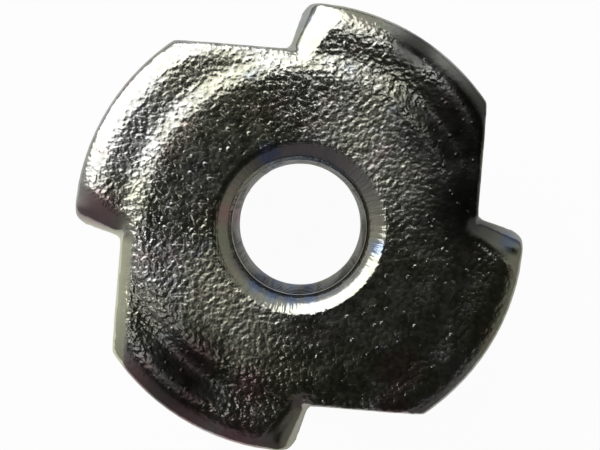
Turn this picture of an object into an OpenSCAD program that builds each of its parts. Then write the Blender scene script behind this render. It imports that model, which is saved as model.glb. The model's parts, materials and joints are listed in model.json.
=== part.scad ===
// Four-pronged tee nut for wood, pressed and drawn from one piece of steel sheet.
// It stands on the lower end of its barrel with the flange on top, and the thread's axis is Z.
// The flange is a disc with a notch for each prong. The metal of each notch is its prong, which
// is turned straight down about the notch's short edge. The bore is drawn here at the thread's
// minor diameter.

/* [Thread] */
// Outside diameter of the screw that the nut takes
thread_d = 8; // [6:0.5:8.5]
// Pitch of the thread
thread_pitch = 1.25; // [0.75:0.25:1.5]
// Chamfer that leads a screw into the lower end of the bore
bore_chamfer = 0.45; // [0.1:0.05:0.7]

/* [Barrel] */
// Height from the lower end of the barrel to the top of the flange
overall_h = 11; // [9:0.5:16]
// Outside diameter of the barrel
barrel_d = 10; // [9.5:0.25:12]
// Width of the drawn mouth around the bore
mouth_w = 0.85; // [0.3:0.05:1.2]
// Slope of the mouth where it breaks away from the flat land
mouth_lean = 20; // [5:1:30]
// Slope of the mouth where it meets the wall of the bore
mouth_steep = 50; // [40:1:80]
// Fillet between the barrel and the underside of the flange
neck_fillet = 0.4; // [0.1:0.1:0.8]
// Chamfer around the barrel's lower end
barrel_chamfer = 0.35; // [0.1:0.05:0.6]

/* [Flange] */
// Diameter of the flange
flange_d = 22; // [20:0.5:28]
// Thickness of the sheet at the land around the mouth
sheet_t = 1.5; // [1.2:0.1:2]
// Width of the lowered rim and its slope, outside the flat land
rim_w = 3.75; // [3.25:0.25:4.5]
// Drop from the land to the lowered rim
step_drop = 0.25; // [0.1:0.05:0.35]
// Width of the slope between the land and the lowered rim
step_w = 1.6; // [0.8:0.1:2]
// Width over which the blanked edge rolls off at the rim
roll_w = 1.5; // [0.6:0.1:1.8]
// Depth of the roll-off at the rim
roll_drop = 0.45; // [0.15:0.05:0.55]

/* [Notches] */
// Number of notches, and so of prongs
prong_count = 4; // [3:1:4]
// Turn of the first notch's inner corner from the X axis
notch_turn = 3; // [-45:1:45]
// How far the notch's inner corner lies in from the rim
notch_depth = 2.3; // [1.8:0.1:2.8]
// Lean of the short edge from the radius through the notch's inner corner
short_lean = 20.5; // [10:0.5:30]
// Outward lean of the long edge from the tangent at the notch's inner corner
long_lean = 7.75; // [4:0.25:12]
// Fillet in the notch's inner corner
inner_corner_r = 0.6; // [0.2:0.05:0.8]
// Rounding of the corner where the short edge meets the rim
short_corner_r = 0.9; // [0.4:0.05:1.1]
// Rounding of the corner where the long edge meets the rim
long_corner_r = 0.45; // [0.1:0.05:0.6]

/* [Prongs] */
// Length that the bend adds to a prong's reach below the flange
bend_gain = 0.6; // [0:0.1:1.2]
// Outside radius of the bend at the notch's inner corner
bend_r_corner = 0.8; // [0.4:0.05:0.9]
// Outside radius of the bend at the rim end of the short edge
bend_r_rim = 2.1; // [1.5:0.1:2.2]
// Inside fillet of the bend, under the flange
bend_fillet = 0.3; // [0.1:0.05:0.5]

/* [Hidden] */
$fn = 96;
zinc = [0.74, 0.75, 0.74];
slack = 1;                                  // how far a cutter runs past what it cuts
skim = 0.25;                                // the same, where something else stands close by
// A rounding in the outline doesn't just touch the edges beside it, but crosses them at a slight
// angle: this is how deep its centre lies from them, as a share of its radius
run_out = 0.97;

// The minor diameter of an ISO metric internal thread
minor_share = 1.0825;
bore_r = (thread_d - minor_share * thread_pitch) / 2;
barrel_r = barrel_d / 2;
flange_r = flange_d / 2;
land_r = flange_r - rim_w;
seat_z = overall_h - sheet_t;               // underside of the flange
rim_z = overall_h - step_drop;              // top of the lowered rim
rim_t = rim_z - seat_z;
corner_r = flange_r - notch_depth;          // radius at which a notch's inner corner lies

// One arc of this radius, or two that mirror each other, turn through a width and a drop
function arc_r(w, drop) = (w * w + drop * drop) / (2 * drop);

mouth_r = mouth_w / (sin(mouth_steep) - sin(mouth_lean));
step_r = arc_r(step_w / 2, step_drop / 2);
roll_r = arc_r(roll_w, roll_drop);

// A notch's own frame has X along the short edge, Y out into the notch, and its origin at the
// notch's inner corner on top of the lowered rim
notch_a = 90 + short_lean - long_lean;      // between the short edge and the long one
short_dir = [1, 0];
long_dir = [cos(notch_a), sin(notch_a)];
mid_dir = [cos(notch_a / 2), sin(notch_a / 2)];
short_in = [0, -1];                         // from the short edge into the flange
long_in = [-sin(notch_a), cos(notch_a)];    // from the long edge into the flange
axis_at = -corner_r * [cos(short_lean), sin(short_lean)];

// Distance from a point, along a direction, to the circle of radius r about the nut's axis
function reach(p, dir, r) =
    let (q = p - axis_at) sqrt(pow(q * dir, 2) - q * q + r * r) - q * dir;

// The point on the line from the nut's axis through p, at radius r
function at_radius(p, r) = axis_at + r / norm(p - axis_at) * (p - axis_at);

short_len = reach([0, 0], short_dir, flange_r);
long_len = reach([0, 0], long_dir, flange_r);
prong_reach = long_len + bend_gain;         // at least as far as a prong goes down
inner_x = min(0, long_len * long_dir.x) - skim;

// Half-section of barrel and flange, to the right of the axis
module half_section() {
    difference() {
        union() {
            translate([bore_r, 0]) square([barrel_r - bore_r, overall_h - sheet_t / 2]);
            translate([bore_r, seat_z]) square([flange_r - bore_r, rim_t]);
            translate([bore_r, seat_z]) square([land_r - bore_r, sheet_t]);
            step_slope();
            translate([barrel_r, seat_z]) mirror([0, 1]) corner_fill(neck_fillet);
        }
        mouth_cut();
        rim_roll_cut();
        translate([bore_r, 0]) chamfer_cut(bore_chamfer);
        translate([barrel_r, 0]) mirror([1, 0]) chamfer_cut(barrel_chamfer);
    }
}

// Fills the corner at the origin between +X and +Y with a fillet
module corner_fill(r) {
    difference() {
        square(r);
        translate([r, r]) circle(r);
    }
}

// What a rounding about the origin takes off a corner that points to +X and +Y
module corner_cut(r) {
    difference() {
        square(r + slack);
        circle(r);
    }
}

// The slope from the land down to the lowered rim, as two arcs that meet halfway
module step_slope() {
    half_w = step_w / 2;
    half_drop = step_drop / 2;
    translate([land_r, rim_z]) intersection() {
        square([half_w, step_drop]);
        translate([0, step_drop - step_r]) circle(step_r);
    }
    translate([land_r + half_w, rim_z]) difference() {
        square([half_w, half_drop]);
        translate([half_w, step_r]) circle(step_r);
    }
}

// What the mouth's rounding takes off the upper edge of the bore
module mouth_cut() {
    edge = [bore_r + mouth_w, overall_h];
    translate(edge + mouth_r * [sin(mouth_lean), -cos(mouth_lean)]) mirror([1, 0])
    corner_cut(mouth_r);
}

// What the roll-off takes from the upper edge of the rim
module rim_roll_cut() {
    translate([flange_r - roll_w, rim_z - roll_r]) difference() {
        square([roll_w + slack, roll_r + slack]);
        circle(roll_r);
    }
}

// What a chamfer takes off a corner at the origin that points to -X and -Y
module chamfer_cut(c) {
    polygon([[-slack, -slack], [c + slack, -slack], [-slack, c + slack]]);
}

// Barrel and flange before the notches are cut
module drawn_form() {
    rotate_extrude() half_section();
}

// One notch with a sharp inner corner, running out past the rim
module notch_wedge() {
    polygon([
        [0, 0],
        (short_len + slack) * short_dir,
        (short_len + long_len) * mid_dir,
        (long_len + slack) * long_dir
    ]);
}

// The same notch with its inner corner filleted
module notch_outline() {
    foot = run_out * inner_corner_r / tan(notch_a / 2);
    centre = run_out * inner_corner_r / sin(notch_a / 2) * mid_dir;
    difference() {
        notch_wedge();
        difference() {
            polygon([-slack * mid_dir, foot * short_dir, centre, foot * long_dir]);
            translate(centre) circle(inner_corner_r);
        }
    }
}

// What rounding takes off the corner where a straight edge runs out at the rim
module rim_corner_cut(dir, in, len, r) {
    inset = run_out * r * in;
    centre = inset + reach(inset, dir, flange_r - run_out * r) * dir;
    difference() {
        polygon([
            centre,
            centre - (r + skim) * in,
            at_radius(len * dir, flange_r + skim),
            at_radius(centre, flange_r + skim)
        ]);
        translate(centre) circle(r);
    }
}

// Lays its children out once for each prong, in the notch's own frame
module at_each_notch() {
    for (k = [0:prong_count - 1]) {
        rotate(notch_turn + k * 360 / prong_count) translate([corner_r, 0, rim_z])
        rotate(-short_lean) children();
    }
}

// Cuts the notch through the flange, and trims the prong below it flush with the short edge
module notch_cut() {
    translate([0, 0, -rim_t - skim]) linear_extrude(rim_t + skim + slack) notch_outline();
    translate([inner_x, 0, -rim_t]) mirror([0, 0, 1])
    cube([short_len + slack - inner_x, skim + slack, prong_reach]);
}

// The notch's own metal, turned down about the short edge. Its root starts halfway down the
// flange's thickness, and it stands out of the short edge until the notch is cut.
module prong() {
    root = rim_t / 2 - bend_gain;
    translate([0, 0, -bend_gain]) rotate([-90, 0, 0]) difference() {
        translate([0, 0, -rim_t]) linear_extrude(rim_t + skim) intersection() {
            notch_wedge();
            translate(axis_at) circle(flange_r);
            translate([-flange_r, root]) square(2 * flange_r);
        }
        translate([axis_at.x, axis_at.y, -rim_z]) rotate_extrude() rim_roll_cut();
    }
}

// Inside fillet of the bend, between the flange's underside and the prong
module bend_fill() {
    translate([0, -rim_t, -rim_t]) rotate([90, 0, 90])
    linear_extrude(short_len - bend_r_rim / 2) rotate(180) corner_fill(bend_fillet);
}

// What the bend's outside takes off the square edge between flange and prong: it leaves a cone
// that rounds both faces into each other and opens from the notch's corner out to the rim
module bend_cut() {
    growth = (bend_r_rim - bend_r_corner) / short_len;
    apex = -bend_r_corner / growth;
    opening = atan(run_out * growth);
    tilt = atan(run_out * growth * sqrt(2));            // of the cone's axis from the edge
    cone_a = asin(sin(tilt) / sqrt(2) / run_out);       // between the cone's axis and its side
    side = 2 * (short_len + slack - apex);
    difference() {
        intersection() {
            translate([apex, 0, 0]) rotate(-opening) translate([0, 0, -side / 2]) cube(side);
            translate([apex, 0, 0]) rotate([0, opening, 0]) translate([0, -side / 2, 0]) cube(side);
            translate([0, -side / 2, -side / 2]) cube([short_len + slack, side / 2 + slack, side]);
        }
        translate([apex, 0, 0]) rotate([-45, 0, 0]) rotate([0, 90 + tilt, 0])
        cylinder(h = side, r1 = 0, r2 = side * tan(cone_a));
    }
}

module tee_nut() {
    color(zinc) difference() {
        union() {
            drawn_form();
            at_each_notch() {
                prong();
                bend_fill();
            }
        }
        at_each_notch() {
            notch_cut();
            bend_cut();
            translate([0, 0, -rim_z]) linear_extrude(overall_h + slack) {
                rim_corner_cut(short_dir, short_in, short_len, short_corner_r);
                rim_corner_cut(long_dir, long_in, long_len, long_corner_r);
            }
        }
    }
}

tee_nut();
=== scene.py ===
import json
import math

import bpy
import numpy as np
from bpy.props import FloatProperty, FloatVectorProperty, IntProperty, PointerProperty
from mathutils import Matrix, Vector


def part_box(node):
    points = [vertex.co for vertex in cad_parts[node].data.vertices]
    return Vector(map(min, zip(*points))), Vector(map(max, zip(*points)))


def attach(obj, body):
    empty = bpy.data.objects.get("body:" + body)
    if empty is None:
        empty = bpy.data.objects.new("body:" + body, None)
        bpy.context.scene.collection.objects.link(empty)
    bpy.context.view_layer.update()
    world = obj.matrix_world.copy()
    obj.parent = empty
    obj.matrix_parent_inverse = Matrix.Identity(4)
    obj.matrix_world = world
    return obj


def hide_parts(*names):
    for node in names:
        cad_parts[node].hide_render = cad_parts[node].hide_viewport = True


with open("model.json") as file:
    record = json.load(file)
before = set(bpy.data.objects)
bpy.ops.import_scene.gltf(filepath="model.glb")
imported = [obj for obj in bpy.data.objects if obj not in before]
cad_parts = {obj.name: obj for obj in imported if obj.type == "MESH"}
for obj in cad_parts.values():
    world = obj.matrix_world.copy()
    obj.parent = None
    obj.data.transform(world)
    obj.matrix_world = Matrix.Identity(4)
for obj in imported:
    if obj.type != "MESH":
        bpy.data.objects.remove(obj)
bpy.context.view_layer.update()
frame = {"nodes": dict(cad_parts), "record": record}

bl_info = {
    "name": "Tee nut",
    "version": (1, 0, 0),
    "blender": (4, 5, 0),
    "location": "3D View > Sidebar > Tee nut",
    "description": "Dresses the tee nut: cuts its thread, softens its edges and gives it its zinc finish",
    "category": "Object",
}

MM = 0.001
NODE = "tee_nut"

# Number of prongs, and so of notches in the flange
PRONGS = 4

# Vertices closer than this are merged, in metres
WELD = 1e-7

# X, Y and radius in mm of the places where the film on the zinc is brown, where it is blue, and
# where the grain has been rubbed smooth and a painted shade darkens the colour
BROWN_PLACES = ((-9.7, 0.9, 1.5), (4.9, -6.9, 1.6), (-2.4, -7.7, 1.5), (-3.6, 0.6, 0.9), (4.6, -8.5, 1.2),
                (-5.0, -6.3, 1.6), (-5.5, -9.0, 2.0), (-7.9, -7.3, 1.5), (-3.0, -10.2, 1.8))
# The blue places are partly blue film and partly painted reflection: the one at (10.2, -0.7) on the east
# bend is a painted violet highlight, and those in the mouth paint the blue of its reflections
BLUE_FILM_AND_REFLECTION_PLACES = ((-1.5, 3.6, 0.9), (-2.1, -2.8, 0.6), (-1.3, -3.2, 0.6), (-0.4, -3.4, 0.6), (0.5, -3.4, 0.5),
               (10.2, -0.7, 0.7), (3.8, -1.0, 0.6))
# The rubbed places also carry a painted shade that darkens the colour towards black
RUBBED_AND_SHADED_PLACES = ((8.0, 5.0, 4.4), (5.6, 8.6, 1.8), (8.6, 1.0, 3.6), (-5.6, -7.0, 3.4))


def mount(name):
    """The CAD model's mount of this name."""
    return next(entry for entry in frame["record"]["mounts"] if entry["name"] == name)


MINOR_R = mount("thread")["dims"]["r_mm"] * MM
SEAT_Z = mount("seat")["pos_m"][2]
BARREL_R = mount("barrel")["dims"]["r_mm"] * MM
TOP_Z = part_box(NODE)[1].z

# Height of the flange's face, at which the camera's distance and the view's width are measured
FACE_Z = TOP_Z - 0.2 * MM


# ---------------------------------------------------------------- sizes and colours


def length(name, default, text):
    """A property that holds a length in metres."""
    return FloatProperty(name=name, default=default, description=text, unit="LENGTH", precision=6)


def share(name, default, text):
    """A property that holds a share, from 0 to 1."""
    return FloatProperty(name=name, default=default, description=text, subtype="FACTOR", min=0, max=1)


def angle(name, degrees, text):
    """A property that holds an angle."""
    return FloatProperty(name=name, default=math.radians(degrees), description=text, subtype="ANGLE")


def colour(name, default, text):
    """A property that holds a colour."""
    return FloatVectorProperty(name=name, default=default, description=text, subtype="COLOR", min=0, max=1)


class TeeNutShape(bpy.types.PropertyGroup):
    """Sizes of the dressed tee nut"""

    pitch: length("Thread pitch", 1.25 * MM, "Rise of the thread in one turn")
    major_r: length("Major radius", 4.0 * MM, "Radius at the bottom of the thread's groove")
    fade_from: length("Thread fades from", 8.6 * MM, "Height at which the groove starts to run out")
    fade_to: length("Thread fades to", 10.0 * MM, "Height at which the groove has run out")
    crest_loss: length("Crest loss", 0.035 * MM, "What softening takes off the thread's crests")
    grid: length("Grid", 0.138 * MM, "Spacing of the grid that the metal is remeshed on")
    soften: IntProperty(name="Softening", default=6, min=1, description="Passes that round off the edges")
    notch_turn: angle("Notch turn", 3, "Turn of the first notch's inner corner from the X axis")
    short_lean: angle("Short edge's lean", 20.5,
                      "Lean of a notch's short edge from the radius through its inner corner")
    long_lean: angle("Long edge's lean", 7.75,
                     "Outward lean of a notch's long edge from the tangent at its inner corner")
    droop_width: length("Droop's width", 0.75 * MM, "Width over which a notch's long edge is drawn down")
    droop_depth: length("Droop's depth", 0.36 * MM, "How far the most drawn edge goes down")
    droop_share: FloatVectorProperty(
        name="Droop by notch", default=(0.12, 0.5, 1.0, 0.12), size=PRONGS, min=0, max=1,
        description="Share of the droop's depth that each notch's long edge has, from the first notch on")
    crease: length("Crease", 1.0 * MM, "Distance from a short edge's inner end to where its bend starts")
    crease_growth: share("Crease's growth", 0.34, "Growth of that distance along the short edge")
    crease_share: share("Crease's droop", 0.65, "Share of the droop's depth that the bends' starts have")
    mouth_roll: share("Mouth's roll", 0.33, "Share of the droop's depth that the mouth's inner edge has")
    corner_r: length("Inner corner's radius", 8.7 * MM, "Distance of a notch's inner corner from the axis")
    flange_r: length("Flange radius", 11 * MM, "Outer radius of the flange")
    mouth_edge: length("Mouth's edge", 4.16 * MM, "Radius at which the drawn mouth meets the flange")


class TeeNutFinish(bpy.types.PropertyGroup):
    """Colours and relief of the zinc plating, with the highlight and shade painted into its colour"""

    zinc: colour("Zinc", (0.54, 0.54, 0.52), "Colour of the plating on plain metal")
    olive: colour("Olive", (0.46, 0.46, 0.365), "Yellow-green film over parts of the plating")
    # Painted highlight: a near-white colour laid on the most drawn long edge
    burnished_highlight: colour("Burnished", (0.90, 0.92, 0.68), "Colour of an edge that the punch has burnished")
    # Also the colour of the painted reflection in the blue places
    blue: colour("Blue", (0.32, 0.40, 0.58), "Blue film over parts of the plating")
    brown: colour("Brown", (0.56, 0.38, 0.38), "Brown film over parts of the plating")
    grain: length("Grain", 0.25 * MM, "Size of the grain in the rolled surface")
    grain_depth: length("Grain depth", 0.12 * MM, "Depth of the grain")
    # Painted shade in the grain's hollows and painted highlight on its tops
    grain_shade_and_highlight: share("Grain contrast", 0.25, "How much duller the grain's hollows are than its tops")
    speck_gap: length("Speck gap", 0.5 * MM, "Usual distance between the raised specks")
    speck_r: length("Speck radius", 0.13 * MM, "Radius of a raised speck")
    film_size: length("Film's size", 5.5 * MM, "Size of the yellow-green film's clouds")
    blotch_size: length("Blotches' size", 2.2 * MM, "Size of the faint blue and brown blotches")
    roughness: share("Roughness", 0.2, "Roughness of the plating")


class TeeNutStage(bpy.types.PropertyGroup):
    """Colours of the room, and the camera's place"""

    floor: colour("Floor", (0.85, 0.85, 0.85), "Colour of the floor")
    dark_walls: colour("Dark walls", (0.085, 0.075, 0.082), "Colour of the room's walls")
    pale_wall: colour("Pale wall", (0.23, 0.235, 0.21), "Colour of the wall in the east")
    window: colour("Window", (0.74, 0.75, 0.72), "Light that comes in from the north-west")
    skirting: colour("Skirting", (0.07, 0.09, 0.16), "Colour at the foot of the north wall")
    ceiling: colour("Ceiling", (0.014, 0.015, 0.011), "Colour overhead")
    lamp_distance: length("Lamp distance", 300 * MM, "Distance of the lamps from the nut's foot")
    distance: length("Camera distance", 78 * MM, "Height of the camera over the flange")
    view_width: length("View width", 29.06 * MM, "Width of the view at the flange")
    camera_x: length("Camera X", 0.4 * MM, "How far the camera stands off the axis along X")
    camera_y: length("Camera Y", 1.5 * MM, "How far the camera stands off the axis along Y")
    aim_x: length("Aim X", 0.05 * MM, "Where the camera aims at, along X")
    aim_y: length("Aim Y", 0.13 * MM, "Where the camera aims at, along Y")


# ---------------------------------------------------------------- modelling helpers


def only(obj):
    """Makes one object the active one and the only one that is selected."""
    bpy.ops.object.select_all(action="DESELECT")
    obj.select_set(True)
    bpy.context.view_layer.objects.active = obj


def named(name):
    """The object that an operator has just added, with its name set."""
    obj = bpy.context.active_object
    obj.name = name
    obj.data.name = name
    return obj


def place(obj):
    """Puts the object's place, turn and size into its mesh."""
    only(obj)
    bpy.ops.object.transform_apply(location=True, rotation=True, scale=True)


def modify(obj, kind, **settings):
    """Adds a modifier and applies it."""
    only(obj)
    modifier = obj.modifiers.new(kind.title(), kind)
    for key, value in settings.items():
        setattr(modifier, key, value)
    bpy.ops.object.modifier_apply(modifier=modifier.name)


def drop(obj):
    """Deletes an object."""
    bpy.data.objects.remove(obj, do_unlink=True)


def points_of(obj):
    """The places of the object's vertices, one row each."""
    flat = np.empty(len(obj.data.vertices) * 3, np.float32)
    obj.data.vertices.foreach_get("co", flat)
    return flat.reshape(-1, 3).astype(float)


def weigh(obj, name, weights, levels=8):
    """Adds a vertex group that holds the weights, rounded to so many levels."""
    group = obj.vertex_groups.new(name=name)
    rounded = np.rint(weights * levels).astype(int)
    for level in range(1, levels + 1):
        members = np.flatnonzero(rounded == level).tolist()
        if members:
            group.add(members, level / levels, "REPLACE")


def carry(obj, masks):
    """Puts masks on the mesh as attributes, which the materials read."""
    for name, mask in masks.items():
        attribute = obj.data.attributes.new(name, "FLOAT", "POINT")
        attribute.data.foreach_set("value", mask.astype(np.float32))


def select_vertices(obj, test):
    """In edit mode, selects the vertices whose place passes the test, and nothing else."""
    bpy.ops.mesh.select_all(action="DESELECT")
    bpy.ops.object.mode_set(mode="OBJECT")
    for vertex in obj.data.vertices:
        vertex.select = test(vertex.co)
    bpy.ops.object.mode_set(mode="EDIT")


def cad_copy(name):
    """A copy of the CAD node's mesh as an object of its own, with its loose triangles merged."""
    source = frame["nodes"][NODE]
    obj = bpy.data.objects.new(name, source.data.copy())
    bpy.context.scene.collection.objects.link(obj)
    obj.data.materials.clear()
    only(obj)
    bpy.ops.object.mode_set(mode="EDIT")
    bpy.ops.mesh.select_mode(type="VERT")
    bpy.ops.mesh.select_all(action="SELECT")
    bpy.ops.mesh.remove_doubles(threshold=WELD)
    bpy.ops.object.mode_set(mode="OBJECT")
    return obj


def tighten_bore(obj, shape):
    """Draws the bore's wall in by what softening takes off the thread's crests."""
    wall_r = MINOR_R + 0.01 * MM
    share_left = (MINOR_R - shape.crest_loss) / MINOR_R
    only(obj)
    bpy.ops.object.mode_set(mode="EDIT")
    bpy.ops.mesh.select_mode(type="VERT")
    select_vertices(obj, lambda co: math.hypot(co.x, co.y) < wall_r)
    bpy.ops.transform.resize(value=(share_left, share_left, 1), center_override=(0, 0, 0))
    bpy.ops.object.mode_set(mode="OBJECT")


def thread_groove(shape):
    """The solid that a tap takes out of the bore: a 60 degree groove along a right-hand helix."""
    flank = math.radians(30)
    steps = 72
    inner_r = MINOR_R - 0.1 * MM
    middle_r = (inner_r + shape.major_r) / 2
    root = shape.pitch / 8
    mouth = root + 2 * math.tan(flank) * (shape.major_r - inner_r)
    start_z = -1.5 * shape.pitch
    turns = math.ceil((TOP_Z - start_z) / shape.pitch)
    bpy.ops.object.select_all(action="DESELECT")
    bpy.ops.mesh.primitive_plane_add(
        size=1, location=(middle_r, 0, start_z), rotation=(math.pi / 2, 0, 0))
    obj = named("thread_groove")
    obj.scale = (shape.major_r - inner_r, mouth, 1)
    place(obj)
    bpy.ops.object.mode_set(mode="EDIT")
    bpy.ops.mesh.select_mode(type="VERT")
    select_vertices(obj, lambda co: co.x > middle_r)
    bpy.ops.transform.resize(value=(1, 1, root / mouth), center_override=(shape.major_r, 0, start_z))
    bpy.ops.mesh.select_all(action="SELECT")
    bpy.ops.mesh.delete(type="ONLY_FACE")
    bpy.ops.object.mode_set(mode="OBJECT")
    modify(obj, "SCREW", axis="Z", angle=2 * math.pi, screw_offset=shape.pitch, iterations=turns,
           steps=steps, render_steps=steps)
    bpy.ops.object.mode_set(mode="EDIT")
    bpy.ops.mesh.select_all(action="SELECT")
    bpy.ops.mesh.remove_doubles(threshold=WELD)
    bpy.ops.mesh.select_all(action="DESELECT")
    bpy.ops.mesh.select_non_manifold()
    bpy.ops.mesh.fill_holes(sides=0)
    bpy.ops.mesh.select_all(action="SELECT")
    bpy.ops.mesh.normals_make_consistent(inside=False)
    bpy.ops.object.mode_set(mode="OBJECT")
    return obj


def tap_envelope(shape):
    """Bounds the groove: full depth low down, and none left under the mouth."""
    sides = 96
    reach = 3 * shape.pitch
    low_r = shape.major_r + 0.2 * MM
    end_r = MINOR_R - 0.05 * MM
    bpy.ops.object.select_all(action="DESELECT")
    bpy.ops.mesh.primitive_cylinder_add(
        vertices=sides, radius=low_r, depth=shape.fade_from + reach,
        location=(0, 0, (shape.fade_from - reach) / 2))
    obj = named("tap_envelope")
    place(obj)
    bpy.ops.object.mode_set(mode="EDIT")
    bpy.ops.mesh.select_mode(type="VERT")
    select_vertices(obj, lambda co: co.z > shape.fade_from - 0.001 * MM)
    bpy.ops.mesh.select_mode(type="FACE")
    bpy.ops.mesh.extrude_region_move(
        TRANSFORM_OT_translate={"value": (0, 0, shape.fade_to - shape.fade_from)})
    bpy.ops.transform.resize(value=(end_r / low_r, end_r / low_r, 1), center_override=(0, 0, shape.fade_to))
    bpy.ops.object.mode_set(mode="OBJECT")
    return obj


# ---------------------------------------------------------------- where the metal was worked, and where highlight and shade are painted


def smooth_step(low, high, value):
    """0 at low and 1 at high, with a smooth rise between them. Low may be the larger."""
    rise = np.clip((value - low) / (high - low), 0, 1)
    return rise * rise * (3 - 2 * rise)


def along_and_out(x, y, shape, notch):
    """Places in a notch's own frame: along its short edge from the inner corner, and out of it."""
    turn = shape.notch_turn + notch * 2 * math.pi / PRONGS
    edge = turn - shape.short_lean
    from_x = x - shape.corner_r * math.cos(turn)
    from_y = y - shape.corner_r * math.sin(turn)
    along = from_x * math.cos(edge) + from_y * math.sin(edge)
    out = -from_x * math.sin(edge) + from_y * math.cos(edge)
    return along, out


def off_long_edge(along, out, shape):
    """How far a place lies from the line of a notch's long edge, into the flange."""
    to_edge = math.pi / 2 + shape.short_lean - shape.long_lean
    return out * math.cos(to_edge) - along * math.sin(to_edge)


def bend_width(along, shape):
    """How far from the short edge its bend starts, at a place along it."""
    reach = (-0.5 * MM, 3 * MM)
    return shape.crease + shape.crease_growth * np.clip(along, *reach)


def droop(points, shape):
    """How far the top is drawn down at the long edges, the bends' starts and the mouth, from 0 to 1."""
    edge_power = 1.5
    edge_start = (-1.0 * MM, 0.2 * MM)
    past_edge = 0.3 * MM
    crease_run = 0.6 * MM
    crease_end = (0.3 * MM, -0.1 * MM)
    crease_start = (-0.6 * MM, 0.2 * MM)
    mouth_power = 2
    x, y, z = points.T
    drawn = np.zeros(len(points))
    for notch in range(PRONGS):
        along, out = along_and_out(x, y, shape, notch)
        inside = off_long_edge(along, out, shape)
        by_edge = np.clip(1 - inside / shape.droop_width, 0, 1) ** edge_power
        by_edge *= smooth_step(*edge_start, out) * (inside > -past_edge)
        by_bend = np.clip((out + bend_width(along, shape)) / crease_run, 0, 1)
        by_bend *= smooth_step(*crease_end, out)
        by_bend *= smooth_step(*crease_start, along) * shape.crease_share
        drawn = np.maximum.reduce([drawn, by_edge * shape.droop_share[notch], by_bend])
    past_mouth = (shape.mouth_edge - np.hypot(x, y)) / (shape.mouth_edge - MINOR_R)
    sunk = np.clip(past_mouth, 0, 1) ** mouth_power * shape.mouth_roll
    in_sheet = np.clip((z - SEAT_Z) / (TOP_Z - SEAT_Z), 0, 1)
    return np.clip(drawn + sunk, 0, 1) * in_sheet


def softness(points, shape):
    """How far softening reaches: fully on the flange and barrel, little in the bore and at long edges."""
    least = 0.15
    past_mouth = (shape.mouth_edge + 0.3 * MM, shape.mouth_edge + 0.8 * MM)
    edge_reach = (0.5 * MM, 0.25 * MM)
    edge_start = (-0.4 * MM, 0)
    edge_loss = 0.8
    x, y, z = points.T
    soft = least + (1 - least) * smooth_step(*past_mouth, np.hypot(x, y))
    for notch in range(PRONGS):
        along, out = along_and_out(x, y, shape, notch)
        inside = off_long_edge(along, out, shape)
        by_edge = smooth_step(*edge_reach, np.abs(inside)) * smooth_step(*edge_start, out)
        soft = np.minimum(soft, 1 - edge_loss * by_edge * (z > SEAT_Z - 0.3 * MM))
    return soft


def burnished_highlight(points, shape):
    """Where the most drawn long edges carry a painted highlight and a smoothed grain, from 0 to 1."""
    edge_reach = (0.95 * shape.droop_width, 0.7 * shape.droop_width)
    edge_start = (-0.4 * MM, 0.2 * MM)
    least_share = 0.9
    x, y, z = points.T
    bright = np.zeros(len(points))
    for notch in range(PRONGS):
        if shape.droop_share[notch] > least_share:
            along, out = along_and_out(x, y, shape, notch)
            by_edge = smooth_step(*edge_reach, off_long_edge(along, out, shape))
            bright = np.maximum(bright, by_edge * smooth_step(*edge_start, out))
    return bright * (z > SEAT_Z)


def bent(points, shape):
    """Where the metal was bent: 1 on the bends and the prongs below them, 0 elsewhere."""
    edge_width = 0.12 * MM
    bend_end = (0.9 * MM, 0.5 * MM)
    bend_start = (-0.5 * MM, 0.1 * MM)
    prong_out = -0.7 * MM
    prong_reach = 1.2 * MM
    prong_start = -2.5 * MM
    x, y, z = points.T
    off_barrel = np.hypot(x, y) > BARREL_R + 0.4 * MM
    below_sheet = z < SEAT_Z - 0.02 * MM
    mask = np.zeros(len(points))
    for notch in range(PRONGS):
        along, out = along_and_out(x, y, shape, notch)
        start = -bend_width(along, shape)
        bend = smooth_step(start - edge_width, start + edge_width, out)
        bend *= smooth_step(*bend_end, out) * smooth_step(*bend_start, along)
        prong = below_sheet & off_barrel & (np.abs(out - prong_out) < prong_reach) & (along > prong_start)
        mask = np.maximum.reduce([mask, bend, prong])
    return mask


def worked(points, shape):
    """How far drawing, bending or shearing has smoothed the rolled grain, from 0 to 1."""
    mouth_edge = (shape.mouth_edge + 0.12 * MM, shape.mouth_edge - 0.15 * MM)
    rim_start = (shape.flange_r - 1.5 * MM, shape.flange_r - 0.2 * MM)
    rim_share = 0.8
    below_seat = (SEAT_Z + 0.35 * MM, SEAT_Z + 0.05 * MM)
    by_barrel = (BARREL_R + 1.2 * MM, BARREL_R + 0.5 * MM)
    x, y, z = points.T
    radius = np.hypot(x, y)
    mouth = smooth_step(*mouth_edge, radius)
    rim = smooth_step(*rim_start, radius) * rim_share
    barrel = smooth_step(*below_seat, z) * smooth_step(*by_barrel, radius)
    return np.maximum.reduce([mouth, rim, barrel, burnished_highlight(points, shape), bent(points, shape)])


def filmed(points, places):
    """How strong a film is that lies in round patches, from 0 to 1."""
    edge = (1, 0.2)
    x, y, _ = points.T
    film = np.zeros(len(points))
    for place_x, place_y, radius in places:
        off = np.hypot(x - place_x * MM, y - place_y * MM) / (radius * MM)
        film = np.maximum(film, smooth_step(*edge, off))
    return film


# ---------------------------------------------------------------- materials


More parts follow.
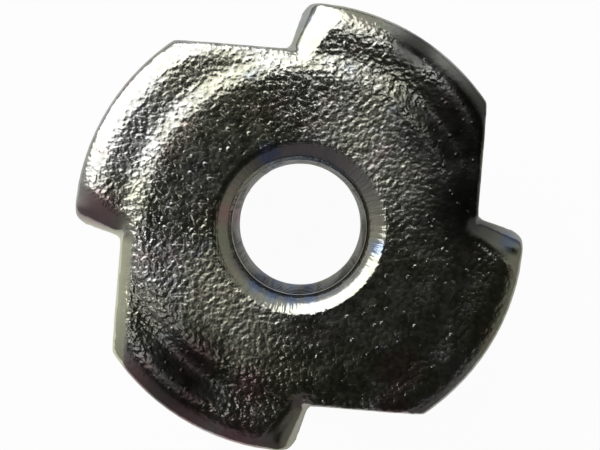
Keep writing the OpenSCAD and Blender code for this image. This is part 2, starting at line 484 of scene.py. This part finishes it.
class Link:
    """A node's output that takes part in Python arithmetic, which adds the Math nodes."""

    def __init__(self, paint, socket):
        self.paint = paint
        self.socket = socket

    def math(self, operation, *values):
        """The result of a Math node on the values."""
        return self.paint.node("ShaderNodeMath", {"operation": operation}, dict(enumerate(values)))

    def __add__(self, other):
        return self.math("ADD", self, other)

    def __radd__(self, other):
        return self.math("ADD", other, self)

    def __sub__(self, other):
        return self.math("SUBTRACT", self, other)

    def __rsub__(self, other):
        return self.math("SUBTRACT", other, self)

    def __mul__(self, other):
        return self.math("MULTIPLY", self, other)

    def __rmul__(self, other):
        return self.math("MULTIPLY", other, self)

    def __truediv__(self, other):
        return self.math("DIVIDE", self, other)

    def __rtruediv__(self, other):
        return self.math("DIVIDE", other, self)

    def __pow__(self, other):
        return self.math("POWER", self, other)

    def __rpow__(self, other):
        return self.math("POWER", other, self)

    def clamp(self):
        """The value, kept between 0 and 1."""
        raised = self.math("MAXIMUM", self, 0.0)
        return raised.math("MINIMUM", raised, 1.0)

    def step(self, low, high):
        """0 at low and 1 at high, with a smooth rise between them. Low may be the larger."""
        return self.paint.node(
            "ShaderNodeMapRange", {"interpolation_type": "SMOOTHSTEP", "clamp": True},
            {"Value": self, "From Min": low, "From Max": high, "To Min": 0.0, "To Max": 1.0})


class Paint:
    """Builds one material's or the world's nodes."""

    # The Mix node's sockets for colours, which share their names with those for numbers
    MIX_FACTOR = 0
    MIX_A = 6
    MIX_B = 7
    MIX_RESULT = 2

    def __init__(self, owner):
        owner.use_nodes = True
        self.tree = owner.node_tree
        self.tree.nodes.clear()

    def node(self, kind, settings=None, inputs=None, output=0):
        """Adds a node with its settings and its sockets' values or links. Returns one of its outputs."""
        node = self.tree.nodes.new(kind)
        for key, value in (settings or {}).items():
            setattr(node, key, value)
        for key, value in (inputs or {}).items():
            if isinstance(value, Link):
                self.tree.links.new(value.socket, node.inputs[key])
            else:
                node.inputs[key].default_value = value
        return Link(self, node.outputs[output]) if node.outputs else None

    def mix(self, factor, a, b, blend="MIX"):
        """Colour a, or b where the factor is 1, or the two blended as much as the factor says."""
        a, b = (value if isinstance(value, Link) else (*value, 1.0) for value in (a, b))
        return self.node(
            "ShaderNodeMix", {"data_type": "RGBA", "blend_type": blend, "clamp_factor": True},
            {self.MIX_FACTOR: factor, self.MIX_A: a, self.MIX_B: b}, output=self.MIX_RESULT)

    def noise(self, where, scale, detail=2.0, roughness=0.5):
        """A noise from 0 to 1."""
        return self.node(
            "ShaderNodeTexNoise", {},
            {"Vector": where, "Scale": scale, "Detail": detail, "Roughness": roughness})

    def attribute(self, name):
        """A mask that the mesh carries."""
        return self.node("ShaderNodeAttribute", {"attribute_name": name}, output="Fac")

    def split(self, vector):
        """The X, Y and Z of a vector."""
        return [self.node("ShaderNodeSeparateXYZ", {}, {"Vector": vector}, axis) for axis in "XYZ"]


class ZincPaint(Paint):
    """The nodes of the zinc plating: its grain and marks in relief, its films of colour, its frost, and the
    shade and highlights painted into its colour.

    North is along Y and east along X.
    """

    # The grain's height: what it is all over, what the diagonals beside the mouth add or take away,
    # and what the north-west adds
    GRAIN_ALL_OVER = 0.42
    GRAIN_ON_DIAGONAL = 0.45
    GRAIN_IN_NORTH_WEST = 0.15
    # Share of the grain that working and rubbing take away
    WORKED_LOSS = 0.94
    RUBBED_LOSS = 0.9
    # The coarser grain: its frequency and its height, as shares of the fine grain's own
    COARSE_SCALE = 0.3
    COARSE_HEIGHT = 0.3
    # The faint marks all over: their frequency as a share of the grain's, and their height
    DRAW_SCALE = 1.6
    DRAW_HEIGHT = 0.03
    # The radial marks in the mouth: also their true radius, how fast they change along the radius as
    # a share of how fast they change around it, and where they start
    MOUTH_SCALE = 1.3
    MOUTH_HEIGHT = 0.22
    MOUTH_R = 4 * MM
    MOUTH_CHANGE = 0.15
    MOUTH_EDGE = (4.35 * MM, 4.15 * MM)
    SPECK_HEIGHT = 0.16

    def __init__(self, material, finish):
        super().__init__(material)
        self.finish = finish
        self.where = self.node("ShaderNodeTexCoord", output="Object")
        self.worked = self.attribute("worked")
        self.rubbed_and_shaded = self.attribute("rubbed_and_shaded")
        self.per_grain = 1 / finish.grain
        self.fine = self.noise(self.where, self.per_grain, detail=0.8)
        self.coarse = self.noise(self.where, self.per_grain * self.COARSE_SCALE, detail=1)

        # The smallest radius squared, which keeps the divisions by the radius off zero on the axis
        least = 1e-9
        mouth_reach = (9 * MM, 5.5 * MM)
        across = 25 * MM
        self.east, self.north, _ = self.split(self.where)
        radius_squared = self.east * self.east + self.north * self.north + least
        self.radius = radius_squared ** 0.5
        self.diagonal = self.east * self.north / radius_squared
        self.near_mouth = self.radius.step(*mouth_reach)
        self.north_west = ((self.north - self.east) / across + 0.5).clamp()

    def grain(self):
        """Height of the rolled surface's grain."""
        share_left = (
            self.GRAIN_ALL_OVER + self.diagonal * self.GRAIN_ON_DIAGONAL * self.near_mouth
            + self.north_west * self.GRAIN_IN_NORTH_WEST)
        share_left = share_left * (1 - self.WORKED_LOSS * self.worked)
        share_left = share_left * (1 - self.RUBBED_LOSS * self.rubbed_and_shaded)
        return (self.fine + self.coarse * self.COARSE_HEIGHT) * share_left

    def mouth_marks(self):
        """Height of the radial marks in the mouth."""
        around = self.node(
            "ShaderNodeCombineXYZ", {},
            {"X": self.east / self.radius * self.MOUTH_R, "Y": self.north / self.radius * self.MOUTH_R,
             "Z": self.radius * self.MOUTH_CHANGE})
        marks = self.noise(around, self.per_grain * self.MOUTH_SCALE)
        return marks * self.radius.step(*self.MOUTH_EDGE) * self.MOUTH_HEIGHT

    def specks(self):
        """Height of the raised specks."""
        gap = self.finish.speck_gap
        off_speck = self.node("ShaderNodeTexVoronoi", {}, {"Vector": self.where, "Scale": 1 / gap})
        raised = (off_speck * gap).step(self.finish.speck_r, 0)
        return raised * self.SPECK_HEIGHT * (1 - self.worked)

    def relief(self):
        """The normal that all the relief gives."""
        draw_marks = self.noise(self.where, self.per_grain * self.DRAW_SCALE)
        height = self.grain() + draw_marks * self.DRAW_HEIGHT + self.mouth_marks() + self.specks()
        return self.node(
            "ShaderNodeBump", {},
            {"Strength": 1.0, "Distance": self.finish.grain_depth, "Height": height})

    def films(self):
        """The plating's colour under its films: olive in clouds, blue and brown in blotches and patches.
        Some blue patches are painted reflection: a violet highlight on the east bend, and blue reflections
        in the mouth.
        """
        clouds = (0.38, 0.62)
        blue_blotches = (0.56, 0.70)
        brown_blotches = (0.44, 0.32)
        blotch_share = 0.3
        blue_share = 0.85
        brown_share = 0.8
        cloud = self.noise(self.where, 1 / self.finish.film_size, detail=3, roughness=0.55)
        blotch = self.noise(self.where, 1 / self.finish.blotch_size, detail=4, roughness=0.6)
        # Blue blotches are film; the blue places are partly painted reflection
        blue = blotch.step(*blue_blotches) * blotch_share + self.attribute("blue") * blue_share
        brown = blotch.step(*brown_blotches) * blotch_share + self.attribute("brown") * brown_share
        colour = self.mix(cloud.step(*clouds), self.finish.zinc, self.finish.olive)
        colour = self.mix(blue.clamp(), colour, self.finish.blue)
        return self.mix(brown.clamp(), colour, self.finish.brown)

    def colour(self):
        """The films' colour, with painted shade in the grain's hollows and painted highlight on its tops, a
        painted shade that darkens it where rubbed, and a painted highlight on the burnished edges.
        """
        tops = (0.36, 0.64)
        worked_loss = 0.9
        rubbed_loss = 0.7
        painted_shade_share = 0.75
        highlight_share = 0.9
        # Painted shade in the grain's hollows and painted highlight on its tops, following the fine noise
        # that also raises the grain
        hollow = (1 - self.finish.grain_shade_and_highlight,) * 3
        top = (1 + self.finish.grain_shade_and_highlight,) * 3
        shade = self.mix(self.fine.step(*tops), hollow, top)
        shaded = (1 - worked_loss * self.worked) * (1 - rubbed_loss * self.rubbed_and_shaded)
        colour = self.mix(shaded, self.films(), shade, blend="MULTIPLY")
        # Painted shade: the colour goes most of the way to black in the rubbed places
        colour = self.mix(self.rubbed_and_shaded * painted_shade_share, colour, (0, 0, 0))
        # Painted highlight: the most drawn long edges turn nearly to a pale yellow-white
        return self.mix(self.attribute("burnished_highlight") * highlight_share, colour, self.finish.burnished_highlight)

    def roughness(self):
        """Rougher on the diagonal beside the mouth and in the far north-west, smoother where worked."""
        far_north_west = (0.8, 1.0)
        north_west_share = 0.4
        coarse_part = 0.2
        worked_part = 0.07
        frost_part = 0.16
        frost = (self.diagonal * 2).clamp() * self.near_mouth
        frost = frost + self.north_west.step(*far_north_west) * north_west_share
        frost = frost * (1 - self.worked) * (1 - self.rubbed_and_shaded)
        uneven = (self.coarse - 0.5) * coarse_part
        return self.finish.roughness + uneven - self.worked * worked_part + frost * frost_part


def zinc_material(finish):
    """The nut's plating."""
    material = bpy.data.materials.new("zinc_plate")
    paint = ZincPaint(material, finish)
    shader = paint.node(
        "ShaderNodeBsdfPrincipled", {},
        {"Base Color": paint.colour(), "Metallic": 1.0, "Roughness": paint.roughness(),
         "Normal": paint.relief()})
    paint.node("ShaderNodeOutputMaterial", {}, {"Surface": shader})
    return material


def floor_material(stage):
    """A plain floor that reads as white to the eye, and still takes a shadow."""
    seen_glow = 0.96
    mirrored_glow = 0.3
    material = bpy.data.materials.new("floor")
    paint = Paint(material)
    seen = paint.node("ShaderNodeLightPath", output="Is Camera Ray")
    mirrored = paint.node("ShaderNodeLightPath", output="Is Glossy Ray")
    matt = paint.node("ShaderNodeBsdfDiffuse", {}, {"Color": (*stage.floor, 1.0)})
    glow = paint.node("ShaderNodeEmission", {}, {"Color": (1, 1, 1, 1), "Strength": 1.0})
    mixed = paint.node(
        "ShaderNodeMixShader", {}, {0: seen * seen_glow + mirrored * mirrored_glow, 1: matt, 2: glow})
    paint.node("ShaderNodeOutputMaterial", {}, {"Surface": mixed})
    return material


def room_light(world, stage):
    """Soft room light: dark overhead and in the south, pale in the north-east, a window in the north-west.

    North is along Y and east along X. A way is a direction's X and Y.
    """
    window_way = (-0.56, 0.83)
    window_power = 3
    pale_way = (0.85, 0.5)
    pale_run = (-0.1, 0.75)
    skirting_top = (0.28, 0.06)
    skirting_run = (0.1, 0.6)
    skirting_share = 0.8
    ceiling_way = (0.85, -0.5)
    ceiling_lean = 0.2
    ceiling_run = (0.62, 0.80)
    paint = Paint(world)
    east, north, up = paint.split(paint.node("ShaderNodeTexCoord", output="Generated"))

    def toward(way):
        return east * way[0] + north * way[1]

    window = (toward(window_way) * 0.5 + 0.5) ** window_power
    skirting = up.step(*skirting_top) * north.step(*skirting_run)
    room = paint.mix(toward(pale_way).step(*pale_run), stage.dark_walls, stage.pale_wall)
    room = paint.mix(window, room, stage.window)
    room = paint.mix(skirting * skirting_share, room, stage.skirting)
    overhead = up + toward(ceiling_way) * ceiling_lean
    room = paint.mix(overhead.step(*ceiling_run), room, stage.ceiling)
    back = paint.node("ShaderNodeBackground", {}, {"Color": room, "Strength": 1.0})
    paint.node("ShaderNodeOutputWorld", {}, {"Surface": back})


# ---------------------------------------------------------------- operators


class TEENUT_OT_shape(bpy.types.Operator):
    """Makes the dressed tee nut from the CAD node: cuts its thread and softens its edges"""

    bl_idname = "tee_nut.shape"
    bl_label = "Tee nut"

    def execute(self, context):
        shape = context.scene.tee_nut_shape
        nut = cad_copy("nut")
        tighten_bore(nut, shape)
        groove = thread_groove(shape)
        envelope = tap_envelope(shape)
        modify(groove, "BOOLEAN", operation="INTERSECT", solver="EXACT", object=envelope)
        modify(nut, "BOOLEAN", operation="DIFFERENCE", solver="EXACT", object=groove)
        drop(groove)
        drop(envelope)
        modify(nut, "REMESH", mode="VOXEL", voxel_size=shape.grid, adaptivity=0)
        weigh(nut, "droop", droop(points_of(nut), shape), levels=200)
        modify(nut, "DISPLACE", direction="Z", strength=-shape.droop_depth, mid_level=0,
               vertex_group="droop")
        weigh(nut, "soft", softness(points_of(nut), shape))
        modify(nut, "SMOOTH", factor=0.5, iterations=shape.soften, vertex_group="soft")
        bpy.ops.object.shade_smooth()
        if not nut.data.polygons:
            raise RuntimeError("the tee nut has no faces left")
        points = points_of(nut)
        masks = {
            "worked": worked(points, shape),
            # The most drawn long edges: a painted highlight, and a smoother grain
            "burnished_highlight": burnished_highlight(points, shape),
            "brown": filmed(points, BROWN_PLACES),
            # Blue places: partly film, partly painted reflection
            "blue": filmed(points, BLUE_FILM_AND_REFLECTION_PLACES),
            # Rubbed places: a smoother grain, and a painted shade in the colour
            "rubbed_and_shaded": filmed(points, RUBBED_AND_SHADED_PLACES),
        }
        carry(nut, masks)
        nut.data.materials.append(zinc_material(context.scene.tee_nut_finish))
        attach(nut, "root")
        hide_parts(NODE)
        return {"FINISHED"}


class TEENUT_OT_stage(bpy.types.Operator):
    """Adds the floor, the lamps, the room light and the camera"""

    bl_idname = "tee_nut.stage"
    bl_label = "Stage"

    def execute(self, context):
        stage = context.scene.tee_nut_stage
        bpy.ops.object.select_all(action="DESELECT")
        bpy.ops.mesh.primitive_plane_add(size=1.2, location=(0, 0, 0))
        floor = named("floor")
        place(floor)
        floor.data.materials.append(floor_material(stage))
        self.lamp("softbox", stage, azimuth=124, elevation=43, size=(0.42, 0.27), radiance=1.9)
        self.lamp("north_east", stage, azimuth=60, elevation=66, size=(0.08, 0.06), radiance=1.1)
        self.lamp("south_west", stage, azimuth=210, elevation=66, size=(0.08, 0.06), radiance=0.95)
        context.scene.world = bpy.data.worlds.new("room")
        room_light(context.scene.world, stage)
        self.camera(context, stage)
        context.scene.view_settings.view_transform = "Standard"
        return {"FINISHED"}

    def lamp(self, name, stage, azimuth, elevation, size, radiance):
        """An area lamp that faces the nut. A radiance of 1 is as bright as white paper."""
        turn = math.radians(azimuth)
        rise = math.radians(elevation)
        away = Vector((math.cos(turn) * math.cos(rise), math.sin(turn) * math.cos(rise), math.sin(rise)))
        bpy.ops.object.light_add(type="AREA", location=away * stage.lamp_distance)
        lamp = named(name)
        lamp.rotation_euler = away.to_track_quat("Z", "Y").to_euler()
        lamp.data.shape = "RECTANGLE"
        lamp.data.size, lamp.data.size_y = size
        lamp.data.energy = radiance * math.pi * size[0] * size[1]

    def camera(self, context, stage):
        """A camera over the flange that aims at its face."""
        sensor_width = 36
        nearest = 1 * MM
        farthest = 5000 * MM
        off_x = stage.camera_x - stage.aim_x
        off_y = stage.camera_y - stage.aim_y
        bpy.ops.object.camera_add(
            location=(stage.camera_x, stage.camera_y, FACE_Z + stage.distance),
            rotation=(-math.atan2(off_y, stage.distance), math.atan2(off_x, stage.distance), 0))
        camera = named("camera")
        away = math.hypot(stage.distance, off_x, off_y)
        camera.data.sensor_width = sensor_width
        camera.data.lens = sensor_width * away / stage.view_width
        camera.data.clip_start = nearest
        camera.data.clip_end = farthest
        context.scene.camera = camera


class TEENUT_PT_panel(bpy.types.Panel):
    """Lists the tee nut's steps and sizes"""

    bl_idname = "TEENUT_PT_panel"
    bl_label = "Tee nut"
    bl_space_type = "VIEW_3D"
    bl_region_type = "UI"
    bl_category = "Tee nut"

    def draw(self, context):
        for operator, group in (
            (TEENUT_OT_shape, context.scene.tee_nut_shape),
            (None, context.scene.tee_nut_finish),
            (TEENUT_OT_stage, context.scene.tee_nut_stage),
        ):
            box = self.layout.box()
            if operator:
                box.operator(operator.bl_idname)
            for key in group.__annotations__:
                box.prop(group, key)


GROUPS = {
    "tee_nut_shape": TeeNutShape,
    "tee_nut_finish": TeeNutFinish,
    "tee_nut_stage": TeeNutStage,
}
CLASSES = (TEENUT_OT_shape, TEENUT_OT_stage, TEENUT_PT_panel)


def register():
    """Adds the property groups, the operators and the panel."""
    for name, group in GROUPS.items():
        bpy.utils.register_class(group)
        setattr(bpy.types.Scene, name, PointerProperty(type=group))
    for cls in CLASSES:
        bpy.utils.register_class(cls)


def unregister():
    """Takes them away again."""
    for cls in reversed(CLASSES):
        bpy.utils.unregister_class(cls)
    for name, group in reversed(GROUPS.items()):
        delattr(bpy.types.Scene, name)
        bpy.utils.unregister_class(group)


def main():
    """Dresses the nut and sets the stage."""
    register()
    bpy.ops.tee_nut.shape()
    bpy.ops.tee_nut.stage()


if __name__ == "__main__":
    main()
